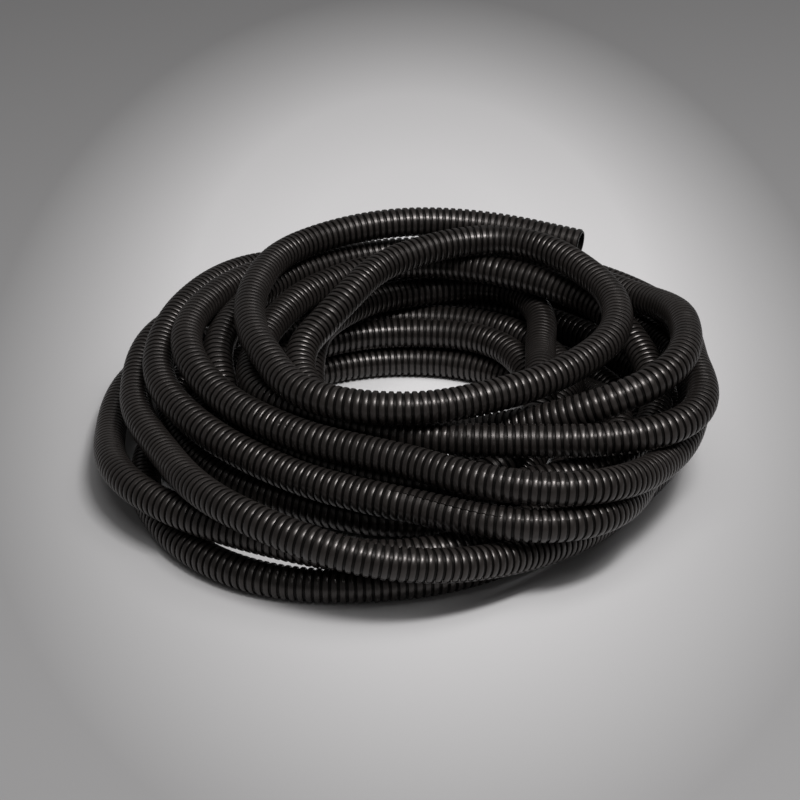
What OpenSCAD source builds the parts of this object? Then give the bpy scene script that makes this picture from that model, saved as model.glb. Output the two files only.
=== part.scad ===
// Corrugated conduit: one length of flexible ribbed plastic tube lying in a loose coil, cut square at both
// ends. The tube is swept along a route of turns, one row a turn, from the top end down to the hidden one.
// Origin: middle of the coil on the floor. +Z up, -Y towards the front, +X to the right. Millimetres.

/* [Tube] */

// Outside diameter over the ribs; the whole coil grows with it
outer_d = 13; // [12.5:0.5:20]
// Clear bore inside
bore_d = 10; // [8.5:0.1:10.6]
// Clear gap between two strands that lie on each other
lay_gap = 0.3; // [0.3:0.1:0.6]

/* [Ribs] */

// Distance from one rib to the next
rib_pitch = 3; // [2.5:0.25:4]
// Width of a rib's flat top
rib_width = 2; // [1:0.1:2.4]
// Depth of the groove between two ribs
groove_depth = 0.7; // [0.3:0.05:0.9]

/* [Cut ends] */

// Ribs on the straight stretch at the top end
top_ribs = 7; // [3:1:8]
// Ribs on the straight stretch at the hidden end
hidden_ribs = 4; // [3:1:5]

/* [Hidden] */

// Distance of the tube's centre line from the coil's axis, in mm for a 13 mm tube. One row is one turn,
// counterclockwise from above, and its twelve places are 30 degrees apart, from the right-hand side on.
turn_radius = [
    [127, 121, 112, 100,  90,  71,  62,  62,  71,  72,  70,  75],
    [ 85,  91,  92,  66,  43,  37,  41,  46,  50,  55,  61, 106],
    [112, 109, 103, 101,  91,  80,  76,  73,  73,  80,  94, 102],
    [101,  96,  87,  87,  73,  62,  60,  66,  63,  68,  84, 121],
    [116, 124, 118, 112, 106,  94,  88,  81,  79,  88, 122, 118],
    [117, 121, 120, 120, 120, 107, 100,  92,  88,  99, 124, 108],
    [109, 106, 106, 103, 107, 117, 110, 107, 121, 127, 110, 100],
    [111, 119, 118, 118, 122, 128, 121, 121, 112, 111,  96,  92],
    [ 86,  86,  87,  87,  87,  88, 102, 113, 118, 108,  96,  86],
    [ 96, 100, 101, 101, 101,  97,  96,  90,  84,  86,  79,  70],
    [ 70,  72,  73,  72,  72,  74,  74,  70,  64,  64,  62,  55],
    [ 56,  62,  74,  73,  72,  69,  68,  61,  56,  57,  52,  51],
    [ 63,  78,  88,  87,  86,  83,  82,  75,  70,  71,  65,  60],
    [ 55,  66,  98,  85,  62,  45,  39,  41,  44,  46,  46,  46]
];

// Height at the same places, in strands: 0 lies on the floor, 1 on top of one strand, 2 on top of two
turn_level = [
    [3.3, 3.5, 3.8, 4.1, 4.0, 4.1, 4.1, 4.1, 4.0, 4.0, 4.0, 4.0],
    [4.0, 4.0, 4.1, 4.0, 3.8, 3.5, 3.2, 2.9, 2.6, 2.5, 2.5, 4.0],
    [4.0, 3.1, 3.0, 3.0, 3.0, 3.0, 2.8, 2.1, 2.0, 2.0, 2.0, 2.0],
    [2.1, 2.8, 3.1, 3.0, 3.0, 3.0, 3.0, 3.0, 3.0, 3.0, 3.0, 3.1],
    [2.9, 2.5, 2.5, 2.0, 2.7, 3.2, 3.3, 3.1, 3.0, 3.0, 2.9, 2.0],
    [1.9, 1.5, 1.3, 1.1, 2.4, 2.8, 2.5, 2.4, 2.1, 2.1, 1.9, 1.1],
    [1.0, 1.0, 1.0, 1.0, 1.4, 1.8, 1.6, 1.8, 2.1, 1.5, 0.6, 0.0],
    [0.0, 0.0, 0.0, 0.0, 0.0, 0.2, 0.4, 1.0, 1.0, 1.0, 1.0, 1.0],
    [1.0, 0.1, 0.0, 0.0, 0.0, 0.0, 0.0, 0.0, 0.0, 0.0, 0.0, 0.0],
    [0.0, 0.0, 0.0, 0.0, 0.0, 1.0, 1.0, 1.0, 1.0, 1.0, 0.8, 0.0],
    [0.0, 0.0, 0.0, 0.0, 0.0, 0.0, 0.0, 0.0, 0.0, 0.0, 0.0, 0.1],
    [0.3, 0.9, 1.0, 1.0, 1.0, 1.0, 1.0, 1.0, 1.0, 1.0, 1.0, 1.1],
    [1.3, 1.0, 1.0, 1.0, 1.0, 1.0, 1.1, 1.0, 1.0, 1.0, 1.3, 2.1],
    [2.3, 2.0, 2.0, 2.0, 2.2, 2.2, 1.9, 1.7, 1.7, 2.0, 2.0, 2.0]
];

// Moves the coil's middle onto the origin, in mm for a 13 mm tube
to_middle = [2.1, 3.6];

// Travel along the route in degrees: where the swept tube starts below the top end, and where it stops
sweep_start = 59;
sweep_end = 13 * 360 + 218;
ring_step = 15;

// Sides of the swept tube outside and inside, and how much its bore's corners stand inside the real bore
outer_sides = 12;
bore_sides = 6;
seam = 0.1;
// How deep each cut end's spigot is let into the tube's wall
spigot = 1.5;

outer_r = outer_d / 2;
bore_r = bore_d / 2;
groove_r = outer_r - groove_depth;
coil_scale = outer_d / 13;
places = len(turn_radius[0]);
radii = [for (row = turn_radius) each row];
levels = [for (row = turn_level) each row];

// A value from a list of places, on a smooth curve through them (Catmull-Rom)
function place(list, i) = list[min(max(i, 0), len(list) - 1)];
function smooth(list, t) =
    let (i = floor(t), f = t - i)
    let (a = place(list, i - 1), b = place(list, i), c = place(list, i + 1), d = place(list, i + 2))
    b + f / 2 * (c - a + f * (2 * a - 5 * b + 4 * c - d + f * (3 * (b - c) + d - a)));

// The route's centre line at a travel in degrees, its direction there, and the sideways and up directions
function route(travel) =
    let (t = travel * places / 360)
    let (r = smooth(radii, t) * coil_scale)
    let (z = outer_r + max(smooth(levels, t), 0) * (outer_d + lay_gap))
    [to_middle[0] * coil_scale + r * cos(travel), to_middle[1] * coil_scale + r * sin(travel), z];
function unit(v) = v / norm(v);
function along(travel) = unit(route(travel + 1) - route(travel - 1));
function sideways(travel) = unit(cross(along(travel), [0, 0, 1]));
function upwards(travel) = cross(sideways(travel), along(travel));

// One ring of points round the centre line
function ring(travel, r, sides) =
    let (c = route(travel), s = sideways(travel), u = upwards(travel))
    [for (k = [0:sides - 1]) c + r * (cos(360 * k / sides) * s + sin(360 * k / sides) * u)];

// The triangles of a skin over the rings of points that start at number `first`
function skin(first, rings, sides, inward) =
    [for (i = [0:rings - 2], k = [0:sides - 1])
        let (a = first + i * sides + k, b = first + i * sides + (k + 1) % sides)
        let (c = a + sides, d = b + sides)
        each inward ? [[a, d, b], [a, c, d]] : [[a, b, d], [a, d, c]]];

// The flat end between a ring of 2 n outer points and a ring of n bore points
function end_face(outer, bore, n, flip) =
    [for (k = [0:n - 1])
        let (a = outer + 2 * k, b = a + 1, c = outer + (2 * k + 2) % (2 * n))
        let (p = bore + k, q = bore + (k + 1) % n)
        each [for (f = [[a, p, b], [b, p, q], [b, q, c]]) flip ? [f[2], f[1], f[0]] : f]];

module swept_tube() {
    travels = [for (t = [sweep_start:ring_step:sweep_end - ring_step / 2]) t, sweep_end];
    rings = len(travels);
    bore_first = rings * outer_sides;
    polyhedron(
        points = concat(
            [for (t = travels) each ring(t, outer_r, outer_sides)],
            [for (t = travels) each ring(t, bore_r - seam, bore_sides)]),
        faces = concat(
            skin(0, rings, outer_sides, false),
            skin(bore_first, rings, bore_sides, true),
            end_face(0, bore_first, bore_sides, false),
            end_face((rings - 1) * outer_sides, bore_first + (rings - 1) * bore_sides, bore_sides, true)));
}

// A straight ribbed stretch standing on its spigot, cut square through a groove's middle at its far end
module cut_end(ribs) {
    outline = [
        [bore_r, -spigot], [groove_r, -spigot],
        for (i = [0:ribs - 1])
            let (z = i * rib_pitch, flank = (rib_pitch - rib_width) / 4)
            each [[groove_r, z + flank], [outer_r, z + 2 * flank],
                  [outer_r, z + 2 * flank + rib_width], [groove_r, z + 3 * flank + rib_width]],
        [groove_r, ribs * rib_pitch], [bore_r, ribs * rib_pitch]
    ];
    rotate_extrude($fn = 48) polygon(outline);
}

// Stands its children at a place on the route, with their +Z in a direction
module stand_at(point, direction) {
    tilt = acos(direction[2]);
    turn = atan2(direction[1], direction[0]);
    translate(point) rotate([0, tilt, turn]) children();
}

module conduit() {
    color("#1b1b1d") union() {
        swept_tube();
        stand_at(route(sweep_start), -along(sweep_start)) cut_end(top_ribs);
        stand_at(route(sweep_end), along(sweep_end)) cut_end(hidden_ribs);
    }
}

conduit();
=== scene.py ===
"""The looks of the corrugated conduit: a loose coil of black ribbed plastic tube on a pale floor."""

import math

import bpy
import numpy as np
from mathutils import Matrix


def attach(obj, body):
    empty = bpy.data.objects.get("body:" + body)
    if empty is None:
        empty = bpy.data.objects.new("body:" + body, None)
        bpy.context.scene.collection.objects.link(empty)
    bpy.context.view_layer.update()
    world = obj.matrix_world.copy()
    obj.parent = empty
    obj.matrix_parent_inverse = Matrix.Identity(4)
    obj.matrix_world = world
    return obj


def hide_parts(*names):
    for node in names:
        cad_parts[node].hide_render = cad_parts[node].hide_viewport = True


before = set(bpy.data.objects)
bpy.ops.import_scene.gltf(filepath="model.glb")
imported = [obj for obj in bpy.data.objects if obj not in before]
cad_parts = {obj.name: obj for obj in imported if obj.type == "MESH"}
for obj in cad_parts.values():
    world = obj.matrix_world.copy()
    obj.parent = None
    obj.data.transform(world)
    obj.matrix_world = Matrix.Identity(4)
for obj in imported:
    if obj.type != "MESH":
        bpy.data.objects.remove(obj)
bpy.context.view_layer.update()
MM = 0.001

# ---------------------------------------------------------------- camera

# How far the camera looks down, in degrees
LOOKS_DOWN = 28

camera_data = bpy.data.cameras.new("camera")
camera_data.sensor_width = 36.0
camera_data.lens = 93.5
camera = bpy.data.objects.new("camera", camera_data)
camera.location = (0.0001, -0.7469, 0.42405)
camera.rotation_euler = (math.radians(90 - LOOKS_DOWN), 0, 0)
bpy.context.scene.collection.objects.link(camera)
bpy.context.scene.camera = camera

# ---------------------------------------------------------------- route, as in part.scad

OUTER_D = 13.0
BORE_D = 10.0
LAY_GAP = 0.3
GROOVE_DEPTH = 0.7
RIB_PITCH = 3.0
TOP_RIBS = 7
HIDDEN_RIBS = 4
TO_MIDDLE = (2.1, 3.6)
SWEEP_START = 59
SWEEP_END = 13 * 360 + 218
# Step of the path's points, and the travel that each straight cut end counts for, in degrees
PATH_STEP = 0.5
END_TRAVEL = 12

TURN_RADIUS = [
    [127, 121, 112, 100,  90,  71,  62,  62,  71,  72,  70,  75],
    [ 85,  91,  92,  66,  43,  37,  41,  46,  50,  55,  61, 106],
    [112, 109, 103, 101,  91,  80,  76,  73,  73,  80,  94, 102],
    [101,  96,  87,  87,  73,  62,  60,  66,  63,  68,  84, 121],
    [116, 124, 118, 112, 106,  94,  88,  81,  79,  88, 122, 118],
    [117, 121, 120, 120, 120, 107, 100,  92,  88,  99, 124, 108],
    [109, 106, 106, 103, 107, 117, 110, 107, 121, 127, 110, 100],
    [111, 119, 118, 118, 122, 128, 121, 121, 112, 111,  96,  92],
    [ 86,  86,  87,  87,  87,  88, 102, 113, 118, 108,  96,  86],
    [ 96, 100, 101, 101, 101,  97,  96,  90,  84,  86,  79,  70],
    [ 70,  72,  73,  72,  72,  74,  74,  70,  64,  64,  62,  55],
    [ 56,  62,  74,  73,  72,  69,  68,  61,  56,  57,  52,  51],
    [ 63,  78,  88,  87,  86,  83,  82,  75,  70,  71,  65,  60],
    [ 55,  66,  98,  85,  62,  45,  39,  41,  44,  46,  46,  46],
]
TURN_LEVEL = [
    [3.3, 3.5, 3.8, 4.1, 4.0, 4.1, 4.1, 4.1, 4.0, 4.0, 4.0, 4.0],
    [4.0, 4.0, 4.1, 4.0, 3.8, 3.5, 3.2, 2.9, 2.6, 2.5, 2.5, 4.0],
    [4.0, 3.1, 3.0, 3.0, 3.0, 3.0, 2.8, 2.1, 2.0, 2.0, 2.0, 2.0],
    [2.1, 2.8, 3.1, 3.0, 3.0, 3.0, 3.0, 3.0, 3.0, 3.0, 3.0, 3.1],
    [2.9, 2.5, 2.5, 2.0, 2.7, 3.2, 3.3, 3.1, 3.0, 3.0, 2.9, 2.0],
    [1.9, 1.5, 1.3, 1.1, 2.4, 2.8, 2.5, 2.4, 2.1, 2.1, 1.9, 1.1],
    [1.0, 1.0, 1.0, 1.0, 1.4, 1.8, 1.6, 1.8, 2.1, 1.5, 0.6, 0.0],
    [0.0, 0.0, 0.0, 0.0, 0.0, 0.2, 0.4, 1.0, 1.0, 1.0, 1.0, 1.0],
    [1.0, 0.1, 0.0, 0.0, 0.0, 0.0, 0.0, 0.0, 0.0, 0.0, 0.0, 0.0],
    [0.0, 0.0, 0.0, 0.0, 0.0, 1.0, 1.0, 1.0, 1.0, 1.0, 0.8, 0.0],
    [0.0, 0.0, 0.0, 0.0, 0.0, 0.0, 0.0, 0.0, 0.0, 0.0, 0.0, 0.1],
    [0.3, 0.9, 1.0, 1.0, 1.0, 1.0, 1.0, 1.0, 1.0, 1.0, 1.0, 1.1],
    [1.3, 1.0, 1.0, 1.0, 1.0, 1.0, 1.1, 1.0, 1.0, 1.0, 1.3, 2.1],
    [2.3, 2.0, 2.0, 2.0, 2.2, 2.2, 1.9, 1.7, 1.7, 2.0, 2.0, 2.0],
]
PLACES = len(TURN_RADIUS[0])
RADII = np.array(TURN_RADIUS, float).ravel()
LEVELS = np.array(TURN_LEVEL, float).ravel()


def smooth(values, t):
    """A value from a list of places, on a smooth curve through them (Catmull-Rom)."""
    i = np.floor(t).astype(int)
    f = t - i
    a, b, c, d = (values[np.clip(i + k, 0, len(values) - 1)] for k in (-1, 0, 1, 2))
    return b + f / 2 * (c - a + f * (2 * a - 5 * b + 4 * c - d + f * (3 * (b - c) + d - a)))


def route(travel):
    """The centre line at a travel in degrees, in mm."""
    t = travel * PLACES / 360
    r = smooth(RADII, t)
    z = OUTER_D / 2 + np.maximum(smooth(LEVELS, t), 0) * (OUTER_D + LAY_GAP)
    turn = np.radians(travel)
    return np.stack([TO_MIDDLE[0] + r * np.cos(turn), TO_MIDDLE[1] + r * np.sin(turn), z], axis=-1)


def unit(v):
    return v / np.linalg.norm(v, axis=-1, keepdims=True)


def make_path():
    """Points, directions and travels along the tube from mouth to mouth, with the straight cut ends."""
    travels = np.append(np.arange(SWEEP_START, SWEEP_END, PATH_STEP), SWEEP_END)
    points = route(travels)
    ahead = unit(route(travels + 1) - route(travels - 1))
    top = points[0] - ahead[0] * TOP_RIBS * RIB_PITCH
    hidden = points[-1] + ahead[-1] * HIDDEN_RIBS * RIB_PITCH
    points = np.concatenate([[top], points, [hidden]])
    ahead = np.concatenate([[ahead[0]], ahead, [ahead[-1]]])
    travels = np.concatenate([[travels[0] - END_TRAVEL], travels, [travels[-1] + END_TRAVEL]])
    return points, ahead, travels


POINTS, AHEAD, TRAVELS = make_path()
LENGTHS = np.concatenate([[0], np.cumsum(np.linalg.norm(np.diff(POINTS, axis=0), axis=1))])
TOTAL = LENGTHS[-1]
SIDEWAYS = unit(np.cross(AHEAD, [0, 0, 1]))
UPWARDS = np.cross(SIDEWAYS, AHEAD)


def along_path(values, s):
    """The path's points or directions at lengths s along the tube."""
    return np.stack([np.interp(s, LENGTHS, values[:, k]) for k in range(3)], axis=-1)


# ---------------------------------------------------------------- the ribbed tube

SIDES = 24
SEGMENTS = 6
SHARP_ANGLE = 30
SLIT_HALF_WIDTH = 0.2
SLIT_DEPTH = 0.75
# How far the bore's skin is let out at the gaping slit, so that the slit shows inside the bore too
BORE_SLIT_DEPTH = 0.5
RIBS = int(round(TOTAL / RIB_PITCH))
PITCH = TOTAL / RIBS
# One rib's outline: where along the pitch, and how much of the rib's height is reached there
RIB_OUTLINE = [(0.15, 0.0), (0.19, 0.72), (0.30, 1.0), (0.70, 1.0), (0.81, 0.72), (0.85, 0.0)]
# The same inside the bore, which follows only as many ribs as can be seen from each mouth
BORE_OUTLINE = [(0.12, 0.0), (0.26, 1.0), (0.74, 1.0), (0.88, 0.0)]
BORE_RIB_HEIGHT = 0.6
BORE_RIBS_SEEN = 22
# The lengthwise slit by travel: its place round the tube, in degrees above the outer side, and how far
# it gapes, from 0 where it is pinched shut to 1
SLIT_PLACES = [
    (0, -100, 1), (300, -110, 1), (620, -110, 1), (1290, -70, 0.5), (1345, -44, 1), (1400, -44, 1),
    (1450, -100, 1), (1700, 60, 0), (1980, 75, 0), (2066, 66, 0), (2071, 64, 1), (2082, 52, 1),
    (2088, 48, 0), (2200, 40, 0), (2330, -20, 0), (2400, -40, 0), (2412, -40, 1), (2450, -42, 1),
    (2480, -60, 0.5), (2600, -100, 1), (3100, -120, 1), (4900, -110, 1),
]
# Slow waves along the tube that break up its evenness: the size of each, and its length in mm over 2 pi
SLIT_WAVES = [(5, 61.0), (2, 23.0)]
SLIP_WAVES = [(0.18, 37.0)]
SURFACE_WAVES = [(0.03, 11.0), (0.03, 29.0)]
# How far a rib's two edges at a gaping slit are out of step, in mm
SLIT_SLIP = 0.22
# How far the surface is lowered, so that no wave takes it past the outside diameter
SURFACE_DROP = 0.06
# A ring this near a mouth isn't put out of step, so that the cut end stays flat
MOUTH = 0.01


def waves(s, parts):
    """A sum of waves at lengths s along the tube."""
    return sum(size * np.sin(s / length) for size, length in parts)


def slit(s):
    """The slit's angle in radians and its gape at lengths s."""
    travel = np.interp(s, LENGTHS, TRAVELS)
    at, angle, gape = zip(*SLIT_PLACES)
    angles = np.interp(travel, at, angle) + waves(s, SLIT_WAVES)
    return np.radians(angles), np.interp(travel, at, gape)


def ring_columns():
    """Angles round the tube from the slit, with the slit's own three columns in the middle."""
    edge = SLIT_HALF_WIDTH / (OUTER_D / 2)
    around = np.linspace(edge, 2 * math.pi - edge, SIDES - 1)
    around[around > math.pi] -= 2 * math.pi
    return np.concatenate([[0.0], around])


def ring_points(s, radius, columns, deep):
    """Points of rings at lengths s, of a radius each; the slit's middle column is let in by `deep`."""
    slit_angle, gape = slit(s)
    slip = (gape * (SLIT_SLIP + waves(s, SLIP_WAVES)))[:, None]
    side = np.sign(columns)[None, :] * (1 - np.abs(columns)[None, :] / math.pi)
    at = np.clip(s[:, None] + slip * side, 0, TOTAL)
    at[s <= MOUTH] = 0
    at[s >= TOTAL - MOUTH] = TOTAL
    r = np.repeat(radius[:, None], len(columns), axis=1)
    r[:, 0] -= deep * gape
    angle = slit_angle[:, None] + columns[None, :]
    flat = at.ravel()
    centre = along_path(POINTS, flat)
    out = along_path(SIDEWAYS, flat) * np.cos(angle).ravel()[:, None]
    out = out + along_path(UPWARDS, flat) * np.sin(angle).ravel()[:, None]
    return (centre + out * r.ravel()[:, None]) * MM


def skin_faces(first, rings, inward):
    """The four-sided faces of a skin over rings of points that start at number `first`."""
    i = np.arange(rings - 1)[:, None] * SIDES
    k = np.arange(SIDES)[None, :]
    n = (k + 1) % SIDES
    a, b, c, d = first + i + k, first + i + n, first + i + SIDES + n, first + i + SIDES + k
    order = (a, b, c, d) if inward else (a, d, c, b)
    return np.stack([q.ravel() for q in order], axis=-1)


def bore_outline(rib):
    """Where the bore's skin has rings over one rib: plain ones, two ribs apart, away from the mouths."""
    if rib < BORE_RIBS_SEEN or rib >= RIBS - BORE_RIBS_SEEN:
        return BORE_OUTLINE
    return [(0.0, 0.0)] if rib % 2 else []


def profile(first_rib, last_rib, outline):
    """Lengths along the tube, and how much of the rib's height is reached there, over a run of ribs."""
    rings = [(rib + at, reach) for rib in range(first_rib, last_rib) for at, reach in outline(rib)]
    at, reach = np.array([(first_rib, 0.0), *rings, (last_rib, 0.0)]).T
    return at * PITCH, reach


def make_segment(name, first_rib, last_rib):
    """One stretch of the tube, outside and inside, from one rib to another."""
    columns = ring_columns()
    s, height = profile(first_rib, last_rib, lambda rib: RIB_OUTLINE)
    radius = OUTER_D / 2 - GROOVE_DEPTH * (1 - height) + (waves(s, SURFACE_WAVES) - SURFACE_DROP)
    outer = ring_points(s, radius, columns, SLIT_DEPTH)
    bore_s, bore_height = profile(first_rib, last_rib, bore_outline)
    inner = ring_points(bore_s, BORE_D / 2 + BORE_RIB_HEIGHT * bore_height, columns, -BORE_SLIT_DEPTH)

    vertices = np.concatenate([outer, inner])
    base = len(outer)
    faces = [skin_faces(0, len(s), False), skin_faces(base, len(bore_s), True)]
    k = np.arange(SIDES)
    n = (k + 1) % SIDES
    if first_rib == 0:
        faces.append(np.stack([k, n, base + n, base + k], axis=-1))
    if last_rib == RIBS:
        o, i = (len(s) - 1) * SIDES, base + (len(bore_s) - 1) * SIDES
        faces.append(np.stack([o + n, o + k, i + k, i + n], axis=-1))
    faces = np.concatenate(faces)

    mesh = bpy.data.meshes.new(name)
    mesh.vertices.add(len(vertices))
    mesh.vertices.foreach_set("co", vertices.ravel())
    mesh.loops.add(faces.size)
    mesh.loops.foreach_set("vertex_index", faces.ravel())
    mesh.polygons.add(len(faces))
    mesh.polygons.foreach_set("loop_start", np.arange(0, faces.size, 4))
    mesh.update(calc_edges=True)
    mesh.validate()
    mesh.polygons.foreach_set("use_smooth", np.ones(len(mesh.polygons), bool))
    mesh.set_sharp_from_angle(angle=math.radians(SHARP_ANGLE))
    crest = mesh.attributes.new("crest", "FLOAT", "POINT")
    crest.data.foreach_set("value", np.concatenate([np.repeat(height, SIDES), np.zeros(len(inner))]))
    piece = bpy.data.objects.new(name, mesh)
    bpy.context.scene.collection.objects.link(piece)
    return piece


def colour_ramp(tree, source, stops):
    """A colour ramp node fed from a value, with its stops as (place, colour)."""
    node = tree.nodes.new("ShaderNodeValToRGB")
    elements = node.color_ramp.elements
    while len(elements) < len(stops):
        elements.new(0.5)
    for element, (at, colour) in zip(elements, stops):
        element.position = at
        element.color = (*colour, 1)
    tree.links.new(source, node.inputs["Fac"])
    return node.outputs["Color"]


# Black plastic: its colour in patches, the dust's share by speck, the dust's colour, and the painted
# shade that darkens the grooves
BODY_SHADES = [(0.3, (0.010, 0.0085, 0.0078)), (0.7, (0.016, 0.0135, 0.0125))]
DUST_SHARES = [(0.55, (0, 0, 0)), (0.8, (0.2, 0.2, 0.2))]
DUST_COLOUR = (0.05, 0.048, 0.046, 1)
GROOVE_PAINTED_SHADE = (0.003, 0.0027, 0.0025, 1)
# Its roughness from the least to the most, and how strongly it shines from a groove to a crest; the weak
# shine in the grooves is painted shade
ROUGHNESS = (0.24, 0.38)
SHINE_WITH_PAINTED_GROOVE_SHADE = (0.12, 0.55)
SHINE_TINT = (1.0, 0.93, 0.9, 1)


def plastic_material():
    """Black polyethylene: semi-matte and a little dusty, with painted shade in the grooves: a darker
    colour and a weaker shine there than on the crests.
    """
    material = bpy.data.materials.new("black_plastic")
    material.use_nodes = True
    nodes, links = material.node_tree.nodes, material.node_tree.links
    shader = nodes["Principled BSDF"]
    place = nodes.new("ShaderNodeTexCoord")

    def noise(scale, detail, rough=0.5):
        node = nodes.new("ShaderNodeTexNoise")
        node.inputs["Scale"].default_value = scale
        node.inputs["Detail"].default_value = detail
        node.inputs["Roughness"].default_value = rough
        links.new(place.outputs["Object"], node.inputs["Vector"])
        return node.outputs["Fac"]

    def mix(share, first, second):
        node = nodes.new("ShaderNodeMix")
        node.data_type = "RGBA"
        links.new(share, node.inputs["Factor"])
        for name, colour in (("A", first), ("B", second)):
            if isinstance(colour, tuple):
                node.inputs[name].default_value = colour
            else:
                links.new(colour, node.inputs[name])
        return node.outputs["Result"]

    def from_to(source, ends):
        node = nodes.new("ShaderNodeMapRange")
        node.inputs["To Min"].default_value, node.inputs["To Max"].default_value = ends
        links.new(source, node.inputs["Value"])
        return node.outputs["Result"]

    crest = nodes.new("ShaderNodeAttribute")
    crest.attribute_name = "crest"
    dust = colour_ramp(material.node_tree, noise(900, 3, 0.6), DUST_SHARES)
    worn = nodes.new("ShaderNodeMath")
    worn.operation = "MULTIPLY"
    links.new(crest.outputs["Fac"], worn.inputs[0])
    links.new(dust, worn.inputs[1])
    body = colour_ramp(material.node_tree, noise(45, 4), BODY_SHADES)
    dusty = mix(worn.outputs[0], body, DUST_COLOUR)
    # Painted shade: where the crest value falls to 0, the grooves take a near-black colour in place of
    # the plastic's own
    links.new(mix(crest.outputs["Fac"], GROOVE_PAINTED_SHADE, dusty), shader.inputs["Base Color"])
    links.new(from_to(noise(160, 4), ROUGHNESS), shader.inputs["Roughness"])
    # Painted shade: the shine falls from the crests to the grooves, so the grooves look darker
    links.new(from_to(crest.outputs["Fac"], SHINE_WITH_PAINTED_GROOVE_SHADE), shader.inputs["Specular IOR Level"])
    shader.inputs["Specular Tint"].default_value = SHINE_TINT

    bump = nodes.new("ShaderNodeBump")
    bump.inputs["Strength"].default_value = 0.25
    bump.inputs["Distance"].default_value = 0.0001
    links.new(noise(2200, 3), bump.inputs["Height"])
    links.new(bump.outputs["Normal"], shader.inputs["Normal"])
    return material


plastic = plastic_material()
cuts = [round(RIBS * k / SEGMENTS) for k in range(SEGMENTS + 1)]
for k in range(SEGMENTS):
    segment = make_segment(f"conduit_stretch_{k + 1}", cuts[k], cuts[k + 1])
    segment.data.materials.append(plastic)
    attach(segment, "root")
    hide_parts("conduit")

# ---------------------------------------------------------------- floor and light

# The floor's colour with a painted pool of light: darker at its far parts, at 0, towards its pale
# middle, at 1; and the tint of all of them
FLOOR_PAINTED_LIGHT = [(0.0, 0.26), (0.2, 0.41), (0.45, 0.62), (0.7, 0.68)]
FLOOR_TINT = (1, 0.985, 0.99)
# How far the floor reaches from the origin each way, in metres
FLOOR_REACH = 3


def floor_material():
    """A pale matt surface with a painted pool of light: it darkens away from an oval middle."""
    material = bpy.data.materials.new("pale_floor")
    material.use_nodes = True
    nodes, links = material.node_tree.nodes, material.node_tree.links
    shader = nodes["Principled BSDF"]
    place = nodes.new("ShaderNodeTexCoord")
    mapping = nodes.new("ShaderNodeMapping")
    mapping.inputs["Location"].default_value = (-0.04, -0.42, 0)
    mapping.inputs["Scale"].default_value = (5.0, 2.2, 1)
    gradient = nodes.new("ShaderNodeTexGradient")
    gradient.gradient_type = "SPHERICAL"
    links.new(place.outputs["Object"], mapping.inputs["Vector"])
    links.new(mapping.outputs["Vector"], gradient.inputs["Vector"])
    stops = [(at, tuple(shade * part for part in FLOOR_TINT)) for at, shade in FLOOR_PAINTED_LIGHT]
    # Painted light: the floor's colour is paler in an oval middle and darker towards its far parts
    shade = colour_ramp(material.node_tree, gradient.outputs["Fac"], stops)
    links.new(shade, shader.inputs["Base Color"])
    shader.inputs["Roughness"].default_value = 0.6
    shader.inputs["Specular IOR Level"].default_value = 0.2
    return material


floor_mesh = bpy.data.meshes.new("floor")
corners = [(x * FLOOR_REACH, y * FLOOR_REACH, 0) for x, y in ((-1, -1), (1, -1), (1, 1), (-1, 1))]
floor_mesh.from_pydata(corners, [], [(0, 1, 2, 3)])
floor = bpy.data.objects.new("floor", floor_mesh)
floor.data.materials.append(floor_material())
bpy.context.scene.collection.objects.link(floor)


def area_light(name, position, size, power):
    """A rectangular lamp that points at the origin."""
    data = bpy.data.lights.new(name, "AREA")
    data.shape = "RECTANGLE"
    data.size, data.size_y = size
    data.energy = power
    lamp = bpy.data.objects.new(name, data)
    lamp.location = position
    way = -np.array(position)
    lamp.rotation_euler = (
        math.atan2(math.hypot(way[0], way[1]), -way[2]),
        0,
        math.atan2(way[1], way[0]) - math.pi / 2,
    )
    bpy.context.scene.collection.objects.link(lamp)


area_light("overhead_softbox", position=(0.3, -0.5, 1.1), size=(0.4, 0.16), power=11)
area_light("overhead_panel", position=(0.3, -0.4, 1.4), size=(1.6, 1.0), power=11.5)

world = bpy.data.worlds.new("studio")
world.use_nodes = True
background = world.node_tree.nodes["Background"]
background.inputs["Color"].default_value = (0.95, 0.94, 0.94, 1)
background.inputs["Strength"].default_value = 0.14
bpy.context.scene.world = world
bpy.context.scene.view_settings.view_transform = "Standard"
